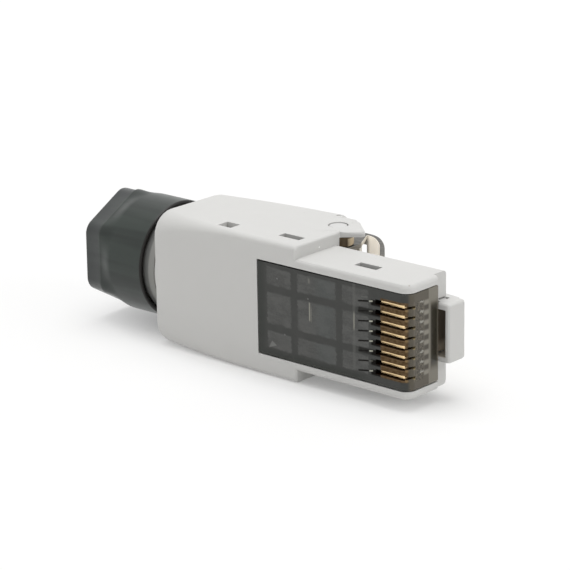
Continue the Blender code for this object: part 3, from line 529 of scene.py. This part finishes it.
def slot_rows(colour):
    """The eight slots: a dark line, a painted glint and a black run-out behind each, amber ribs between,
    and painted shade on the slot walls.
    """
    line_front, line_slope = -5.0, 0.165
    rise = z - (x - line_front) * line_slope
    line = row_share(rise, 0.30, 0.46, 0.05) * within(x, -6.25, -4.90, 0.10)
    run_out = row_share(z, 0.06, 0.62, 0.09) * within(x, -4.62, -3.42, 0.10)
    deep_rows = within(z, 2.05, 2.70, 0.12) + within(z, -1.98, -1.40, 0.12)
    deep = deep_rows * within(x, -6.20, -3.50, 0.15) * 0.7
    dark = line.maths("MAXIMUM", run_out).maths("MAXIMUM", deep) * (speckle * 0.5 + 0.75)
    colour = tinted(dark, colour, smoke_black)
    dash_rows = within(rise, 3.76, 3.92, 0.05) + within(rise, 1.72, 1.86, 0.05) * 0.6
    colour = tinted(within(x, -5.85, -5.02, 0.08) * dash_rows * 0.5, colour, pale_line_grey)
    glint = row_share(z - (x + 4.6) * 0.2, 0.37, 0.51, 0.05) * within(x, -4.84, -4.40, 0.07)
    glint = glint * (1 - within(z, 2.0, 3.0, 0.1) * 0.75) * (1 - within(z, -3.1, -2.1, 0.1) * 0.8)
    colour = tinted(glint * 0.85, colour, slot_glint)
    rib = within(x, -3.42, -0.14, 0.07) * (1 - above(y, -2.9, 0.2)) * within(z, -4.02, 4.05, 0.08)
    colour = tinted(rib, colour, tinted(above(speckle, 0.5, 0.16), amber_dark, amber_pale))
    colour = tinted(rib * row_share(z, 0.17, 0.29, 0.05) * 0.5, colour, amber_line)
    pale_end = row_share(z, 0.10, 0.32, 0.05) * within(x, -0.50, -0.16, 0.05)
    colour = tinted(pale_end * rib * 0.6, colour, amber_end)
    # Painted shade: the slots' walls are painted nearly black.
    wall = above(sideways, 0.7, 0.1) * in_rows
    colour = tinted(wall * 0.92, colour, slot_wall_shade)
    return colour, dark.maths("MAXIMUM", rib).maths("MAXIMUM", wall)


def clear_nose(colour):
    """The nose ahead of the contacts: clearer, with the slots' ends seen through it, painted highlights on
    its edges and a band of painted shade.
    """
    nose = above(x, -0.30, 0.14)
    shaken = z + speckle * 0.5 - 0.25
    colour = tinted(nose * above(y, -2.95, 0.25), colour, smoke_nose)
    marbled = nose * in_rows * within(y, -2.15, -0.95, 0.15)
    colour = tinted(marbled * above(crumb, 0.50, 0.05) * 0.75, colour, nose_dark)
    colour = tinted(marbled * above(1 - speckle, 0.56, 0.06) * 0.35, colour, nose_pale)
    bead = row_share(z, 0.28, 0.62, 0.06) * within(y, -2.46, -2.22, 0.06) * above(speckle, 0.40, 0.1)
    colour = tinted(nose * bead * 0.8, colour, bead_gold)
    colour = tinted(nose * in_rows * within(y, -2.42, -2.30, 0.05) * 0.3, colour, bead_line)
    blob = row_share(shaken, 0.70, 0.90, 0.05) * within(y, -1.50, -0.95, 0.10)
    colour = tinted(nose * blob * 0.75, colour, blob_grey)
    clear = row_share(z, 0.36, 0.80, 0.12) * within(y, -0.88, -0.10, 0.16)
    colour = tinted(nose * clear * 0.75, colour, clear_tan)
    stub = (1 - row_share(z, 0.28, 0.92, 0.06)) * within(z, -3.4, 3.6, 0.1) * within(y, -0.80, -0.22, 0.10)
    colour = tinted(nose * stub * 0.75, colour, stub_brown)
    # Painted highlights: light lines along the nose's front edges and toward its top.
    ends = above(z.maths("ABSOLUTE"), 3.35, 0.40)
    edge_light = within(y, -0.14, 0.12, 0.07) + within(y, 0.12, 1.40, 0.12) * ends
    colour = tinted(nose * edge_light * 0.8, colour, edge_glow)
    # Painted shade: a dark band across the front face.
    shaded = within(y, 0.24, 1.10, 0.08) * within(z, -2.95, 3.15, 0.40)
    colour = tinted(nose * shaded * (0.62 + speckle * 0.5), colour, band_dark)
    return tinted(nose * above(y, 1.20, 0.06) * 0.6, colour, edge_highlight_grey)


shade, rough_border = window_panes()
shade, dull = slot_rows(shade)
shade = clear_nose(shade)
# Painted shade: a thin dark line along the top edge, where a gap runs between the carrier and the housing.
gap_shade = above(z, window_top - 0.10, 0.04) * (1 - above(x, -9.0, 6.0))
shade = tinted(gap_shade * 0.9, shade, smoke_black)
polished = smoke.add("ShaderNodeBsdfPrincipled", sockets={
    "Base Color": shade,
    "Roughness": cloud * 0.10 + 0.12,
    "Normal": skin_of(smoke, 0.5, 0.003),
    "Specular IOR Level": 0.35,
    "Transmission Weight": 0.10,
})
matt = smoke.add("ShaderNodeBsdfPrincipled", sockets={
    "Base Color": shade, "Roughness": 0.5, "Specular IOR Level": 0.05,
})
behind = dull.maths("MAXIMUM", gap_shade).maths("MAXIMUM", rough_border)
both = smoke.add("ShaderNodeMixShader", sockets={0: behind, 1: polished, 2: matt})
smoke.add("ShaderNodeOutputMaterial", sockets={"Surface": both})

slot_back, slot_run_out = -3.76 * MM, 0.30 * MM
carrier = merged("contact_carrier", "carrier_moulding")
for corner in carrier.data.vertices:
    if abs(corner.co.x - slot_back) < on_plane:
        corner.co.x -= slot_run_out
round_edges(carrier, 0.03 * MM)
fitted(settled(carrier), smoky_plastic, "smoky_plastic", "housing", "contact_carrier")


# Contacts: eight flat stampings, gold over nickel, pressed into the carrier's slots. Their tines stand in
# two staggered rows, so each row of four is one stamping repeated at twice the pitch.
def open_tree(name, sizes):
    """An empty geometry tree with named inputs, and its recipe with those inputs as values."""
    tree = bpy.data.node_groups.new(name, "GeometryNodeTree")
    tree.interface.new_socket("Mesh", in_out="INPUT", socket_type="NodeSocketGeometry")
    for label, kind in sizes.items():
        tree.interface.new_socket(label, in_out="INPUT", socket_type=kind)
    tree.interface.new_socket("Mesh", in_out="OUTPUT", socket_type="NodeSocketGeometry")
    recipe = Recipe(tree)
    return recipe, recipe.add("NodeGroupInput", output=("Mesh", *sizes))


def close_tree(recipe, mesh, paint):
    """Ends a geometry tree in plain faces that carry their material."""
    real = recipe.add("GeometryNodeRealizeInstances", sockets={"Geometry": mesh})
    painted = recipe.add("GeometryNodeSetMaterial", sockets={"Geometry": real, "Material": paint})
    recipe.add("NodeGroupOutput", sockets={0: painted})
    return recipe.tree


def grown(piece, tree, sizes):
    """Puts a geometry tree on a piece, with its sizes set by name."""
    growth = piece.modifiers.new(tree.name, "NODES")
    growth.node_group = tree
    for item in tree.interface.items_tree:
        if item.in_out == "INPUT" and item.name in sizes:
            growth[item.identifier] = sizes[item.name]


def plated(name, colour, darker_tone, shine, streak):
    """Plated metal: fine streaks along X that change its colour and its sheen."""
    unevenness = 0.16
    paint = bpy.data.materials.new(name)
    recipe = blank_recipe(paint)
    lines = noise_at(recipe, streak, 3.0, (0.08, 1, 1))
    sheen = lines * unevenness + (shine - unevenness / 2)
    finished(recipe, {"Base Color": tinted(lines, colour, darker_tone), "Roughness": sheen, "Metallic": 1.0})
    return paint


row, (blade, count, pitch, plating) = open_tree("contact row", {
    "Contacts": "NodeSocketInt", "Pitch": "NodeSocketFloat", "Plating": "NodeSocketMaterial",
})
along = row.add("ShaderNodeCombineXYZ", sockets={"Z": pitch})
seats = row.add("GeometryNodeMeshLine", sockets={"Count": count, "Offset": along})
copies = row.add("GeometryNodeInstanceOnPoints", sockets={"Points": seats, "Instance": blade})
contact_row = close_tree(row, copies, plating)

gold_bright, gold_deep = (1.00, 0.80, 0.50), (0.93, 0.66, 0.33)
gold = plated("gold plate", gold_bright, gold_deep, shine=0.33, streak=0.05)
crown_height, crown_front, crown_reach = -2.5 * MM, -1.0 * MM, 0.05 * MM
for first, name in ((1, "contacts_near_tines"), (2, "contacts_far_tines")):
    contacts = merged(f"contact_{first}", name)
    for corner in contacts.data.vertices:
        if corner.co.y < crown_height and corner.co.x > crown_front:
            corner.co.x += crown_reach
    grown(contacts, contact_row, {"Contacts": 4, "Pitch": -2 * contact_pitch * MM, "Plating": gold})
    round_edges(contacts, 0.03 * MM)
    fitted(settled(contacts), gold, "gold_plate", "housing", *(f"contact_{k}" for k in range(first, 9, 2)))


# Wire comb: a plain grey moulding that holds the eight wires under the contacts' tines. It sits in a seat
# of the housing, behind the smoky carrier, and hardly shows.
comb_grey = (0.30, 0.30, 0.29)
comb_plastic = moulded("comb plastic", comb_grey, 0.5)
comb = refined("wire_manager", "wire_comb", 0.04 * MM)
fitted(comb, comb_plastic, "comb_plastic", "housing", "wire_manager")


# Latch: a spring arm moulded in the housing's grey, with a hollow nose ahead of the mating face and a
# narrow tail under the lever. It bends about its root in the mating end.
latch = refined("latch", "latch_moulding", 0.05 * MM)
fitted(latch, housing_plastic, "housing_plastic", "latch", "latch")


# Release lever: tinned spring sheet, half a millimetre thick, bent over the latch's tail and pinned behind
# the ears. The sheet's faces keep the pale tin, with painted shade low down by the ears and a painted glow
# inside the curl. Its sheared edges are painted dark, for the bare steel and for a painted dark reflection.
tin_bright, tin_dull = (0.92, 0.89, 0.83), (0.66, 0.62, 0.55)
# The sheared edges' colours: bare steel, with a painted dark reflection.
steel_pale_reflection, steel_dark_reflection = (0.12, 0.115, 0.10), (0.050, 0.045, 0.036)
# Painted shade on the low part of the sheet, under the ears, up to a height.
low_shade_brown, shade_height = (0.16, 0.15, 0.13), 7.3
curl_glow, curl_back = (0.44, 0.405, 0.35), -15.6

tinned_sheet = bpy.data.materials.new("tinned sheet")
tin = blank_recipe(tinned_sheet)
x, y, _ = place_on(tin)
facing = tin.add("ShaderNodeTexCoord", output="Normal")
_, upward, sideways = tin.add("ShaderNodeSeparateXYZ", sockets={0: facing}, output=("X", "Y", "Z"))
sheared = above(sideways.maths("ABSOLUTE"), 0.75, 0.15)
lines = noise_at(tin, 0.12, 3.0, (0.15, 1, 1))
smears = noise_at(tin, 0.9, 3.0)
shaded_low = 1 - above(y, shade_height, 0.35)
face_shade = tinted(shaded_low * 0.85, tinted(smears, tin_bright, tin_dull), low_shade_brown)
edge_shade = tinted(above(lines, 0.5, 0.12), steel_pale_reflection, steel_dark_reflection)
# A painted glow: the inside of the curl emits a little light.
curl_light = above(x, curl_back, 0.3) * (1 - sheared) * (1 - above(upward, -0.35, 0.15)) * (1 - shaded_low)
finished(tin, {
    "Base Color": tinted(sheared, face_shade, edge_shade),
    "Metallic": sheared * 0.55 + 0.30,
    "Roughness": sheared * -0.12 + lines * 0.12 + 0.42,
    "Emission Color": tinted(curl_light, (0, 0, 0), curl_glow),
    "Emission Strength": 1.0,
})
lever = refined("release_lever", "lever_sheet", 0.06 * MM, sharp=25.0)
fitted(lever, tinned_sheet, "tinned_sheet", "lever", "release_lever")


# Lever pin: a plain round pin in a grey like the housing's, pressed through both ears, its ends just below
# their faces.
pin_grey = (0.60, 0.597, 0.585)
pin_plastic = moulded("pin plastic", pin_grey, 0.4)
pin = refined("lever_pin", "lever_pin_rod", 0.10 * MM)
fitted(pin, pin_plastic, "pin_steel", "housing", "lever_pin")


# Lever bushes: two turned brass rings that slide onto the pin, between the lever's cheeks and the ears.
# They are dark where the ears and the sheet shade them.
brass_bright, brass_dark = (0.62, 0.52, 0.37), (0.085, 0.055, 0.030)
brass = bpy.data.materials.new("bush brass")
turned = blank_recipe(brass)
_, y, z = place_on(turned)
lathe_lines = noise_at(turned, 0.25, 3.0, (1, 1, 0.1))
# Painted shade where the ears and the sheet shade the bushes, with darker lathe marks.
shadowed = (1 - above(y, 4.95, 0.10)).maths("MAXIMUM", above(z.maths("ABSOLUTE"), 6.02, 0.08))
darker_tone = shadowed.maths("MAXIMUM", above(lathe_lines, 0.60, 0.08) * 0.6)
finished(turned, {
    "Base Color": tinted(darker_tone * 0.9, brass_bright, brass_dark),
    "Roughness": lathe_lines * 0.16 + 0.30,
    "Metallic": 0.8,
})
for number in (1, 2):
    bush = refined(f"lever_bush_{number}", f"bush_ring_{number}", 0.08 * MM)
    fitted(bush, brass, "bush_brass", "housing", f"lever_bush_{number}")


# Neck ring: a moulded rubber seal, mid grey and greyer in its back half. It is stretched over the stub,
# between the neck's shoulder and the nut.
seal_grey, seal_back_grey = (0.27, 0.27, 0.255), (0.115, 0.116, 0.112)
ring_low, ring_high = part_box("neck_ring")
ring_middle = (ring_low.x + ring_high.x) / 2 / MM


def darker_back_half(recipe, shade):
    """The half of the seal toward the nut is greyer."""
    x, _, _ = place_on(recipe)
    return tinted((1 - above(x, ring_middle, 0.12)) * 0.9, shade, seal_back_grey)


seal_rubber = moulded("seal rubber", seal_grey, 0.55, tint=0.1, grain=0.1, marks=darker_back_half)
ring = refined("neck_ring", "seal_ring", 0.08 * MM)
fitted(ring, seal_rubber, "seal_rubber", "housing", "neck_ring")


# Cable clamp: a claw of six fingers, moulded in the nut's own dark plastic. It slides in the neck's bore,
# where the nut presses its fingers round the cable.
dark_green, streak_green, end_grey = (0.021, 0.027, 0.0235), (0.039, 0.050, 0.043), (0.036, 0.038, 0.040)
nut_low, nut_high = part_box("gland_nut")
rim_length = 1.9 * MM
rim_end, lip_start = (nut_low.x + rim_length) / MM, nut_high.x / MM - 0.22


def streaks_end_and_lip(recipe, shade):
    """Faint lighter streaks along the axis, flow lines that also stand in as painted reflections, a greyer
    cable end, and a black front lip of painted shade.
    """
    x, _, _ = place_on(recipe)
    lines = noise_at(recipe, 1.6, 2.0, (0.05, 1, 1))
    # Streaks along the axis: flow lines, and a painted reflection of bright bands.
    shade = tinted(above(lines, 0.5, 0.10) * 0.6, shade, streak_green)
    shade = tinted((1 - above(x, rim_end, 0.15)) * 0.5, shade, end_grey)
    # Painted shade: the front lip is painted black.
    return tinted(above(x, lip_start, 0.06), shade, smoke_black)


gland_plastic = moulded(
    "gland plastic", dark_green, 0.34, tint=0.15, relief=0.003, marks=streaks_end_and_lip,
    constants={"Specular IOR Level": 0.35},
)
clamp = refined("cable_clamp", "clamp_claw", 0.06 * MM)
fitted(clamp, gland_plastic, "dark_plastic", "clamp", "cable_clamp")


# Gland nut: one dark moulding, a round collar that flows into a hexagon for the spanner, with a stepped rim
# at the cable end. It is turned as a round form and then pressed to its hexagon by rule.
nut_axis = (nut_low.y + nut_high.y) / 2
collar_radius = 6.35 * MM
hexagon_apothem = 5.9 * MM
hexagon_corner = 1.5 * MM
hexagon_turn = math.radians(-0.5)
rim_drop, shoulder_length = 0.16 * MM, 0.35 * MM
flow_length = 2.0 * MM
soft_edge = 0.25 * MM
entry_radius, chamber_radius, thread_radius = 3.7 * MM, 4.95 * MM, 5.25 * MM
end_wall, chamber_length, skirt_depth, skirt_wall = 1.0 * MM, 1.8 * MM, 2.3 * MM, 0.4 * MM
turn_steps, edge_steps, flow_steps = 192, 4, 12


def nut_profile():
    """The nut's rings: X, radius, share of the hexagon, and how far the hexagon is drawn in."""
    front, back = nut_high.x, nut_low.x
    rim_front = back + rim_length
    flow_back = rim_front + shoulder_length
    rings = []
    for k in range(edge_steps + 1):
        angle = math.radians(90 * k / edge_steps)
        reach = collar_radius - soft_edge * (1 - math.sin(angle))
        rings.append((front - soft_edge * (1 - math.cos(angle)), reach, 0, 0))
    for k in range(flow_steps + 1):
        share = 1 - k / flow_steps
        hexagon = 1 - share * share * (3 - 2 * share)
        rings.append((flow_back + flow_length * share, collar_radius, hexagon, 0))
    rings.append((rim_front, collar_radius, 1, rim_drop))
    for k in range(edge_steps + 1):
        angle = math.radians(90 * k / edge_steps)
        drawn_in = rim_drop + soft_edge * (1 - math.cos(angle))
        rings.append((back + soft_edge * (1 - math.sin(angle)), collar_radius, 1, drawn_in))
    chamber_back = back + end_wall
    thread_back = chamber_back + chamber_length
    thread_front = front - skirt_depth
    skirt_radius = collar_radius - skirt_wall
    inside = [(back, entry_radius), (chamber_back, entry_radius), (chamber_back, chamber_radius)]
    inside += [(thread_back, chamber_radius), (thread_back, thread_radius), (thread_front, thread_radius)]
    inside += [(thread_front, skirt_radius), (front, skirt_radius)]
    return rings + [(x, radius, 0, 0) for x, radius in inside]


form = bmesh.new()
hexagon_share = form.verts.layers.float.new("hexagon")
inset = form.verts.layers.float.new("drawn in")
loops = []
for ring_x, radius, share, drawn_in in nut_profile():
    loop = []
    for k in range(turn_steps):
        angle = 2 * math.pi * k / turn_steps
        point = form.verts.new((ring_x, nut_axis + radius * math.cos(angle), radius * math.sin(angle)))
        point[hexagon_share] = share
        point[inset] = drawn_in
        loop.append(point)
    loops.append(loop)
for loop, following in zip(loops, loops[1:] + loops[:1]):
    for k in range(turn_steps):
        after = (k + 1) % turn_steps
        form.faces.new((loop[k], loop[after], following[after], following[k]))
bmesh.ops.recalc_face_normals(form, faces=form.faces)
nut_mesh = bpy.data.meshes.new("gland_nut_moulding")
form.to_mesh(nut_mesh)
form.free()
nut = bpy.data.objects.new("gland_nut_moulding", nut_mesh)
scene.collection.objects.link(nut)

press, (blank, apothem, corner, turn, axis, plastic) = open_tree("pressed hexagon", {
    "Apothem": "NodeSocketFloat", "Corner": "NodeSocketFloat", "Turn": "NodeSocketFloat",
    "Axis": "NodeSocketFloat", "Plastic": "NodeSocketMaterial",
})
sector = math.pi / 3
share = press.add("GeometryNodeInputNamedAttribute", {"data_type": "FLOAT"}, {"Name": "hexagon"})
drawn_in = press.add("GeometryNodeInputNamedAttribute", {"data_type": "FLOAT"}, {"Name": "drawn in"})
point = press.add("GeometryNodeInputPosition")
x, y, z = press.add("ShaderNodeSeparateXYZ", sockets={0: point}, output=("X", "Y", "Z"))
height = y - axis
angle = z.maths("ARCTAN2", height)
reach = (height ** 2.0 + z ** 2.0) ** 0.5
local = (angle - turn + sector / 2).maths("FLOORED_MODULO", sector) - sector / 2
swing = local.maths("ABSOLUTE")
flat = apothem - drawn_in
level_run = flat * swing.maths("TANGENT")
straight = level_run.maths("LESS_THAN", (flat - corner) * math.tan(sector / 2))
core = (flat - corner) / math.cos(sector / 2)
off = sector / 2 - swing
across = core * off.maths("SINE")
bent = core * off.maths("COSINE") + (corner ** 2.0 - across ** 2.0).maths("MAXIMUM", 0.0) ** 0.5
side = flat / swing.maths("COSINE")
hexagon = straight * side + (1 - straight) * bent
pressed = (1 - share) * reach + share * hexagon
moved = press.add("ShaderNodeCombineXYZ", sockets={
    "X": x, "Y": axis + pressed * angle.maths("COSINE"), "Z": pressed * angle.maths("SINE"),
})
shaped = press.add("GeometryNodeSetPosition", sockets={"Geometry": blank, "Position": moved})
grown(nut, close_tree(press, shaped, plastic), {
    "Apothem": hexagon_apothem, "Corner": hexagon_corner, "Turn": hexagon_turn,
    "Axis": nut_axis, "Plastic": gland_plastic,
})
round_edges(nut, 0.05 * MM, sharp=40.0)
fitted(settled(nut, sharp=40.0), gland_plastic, "dark_plastic", "nut", "gland_nut")
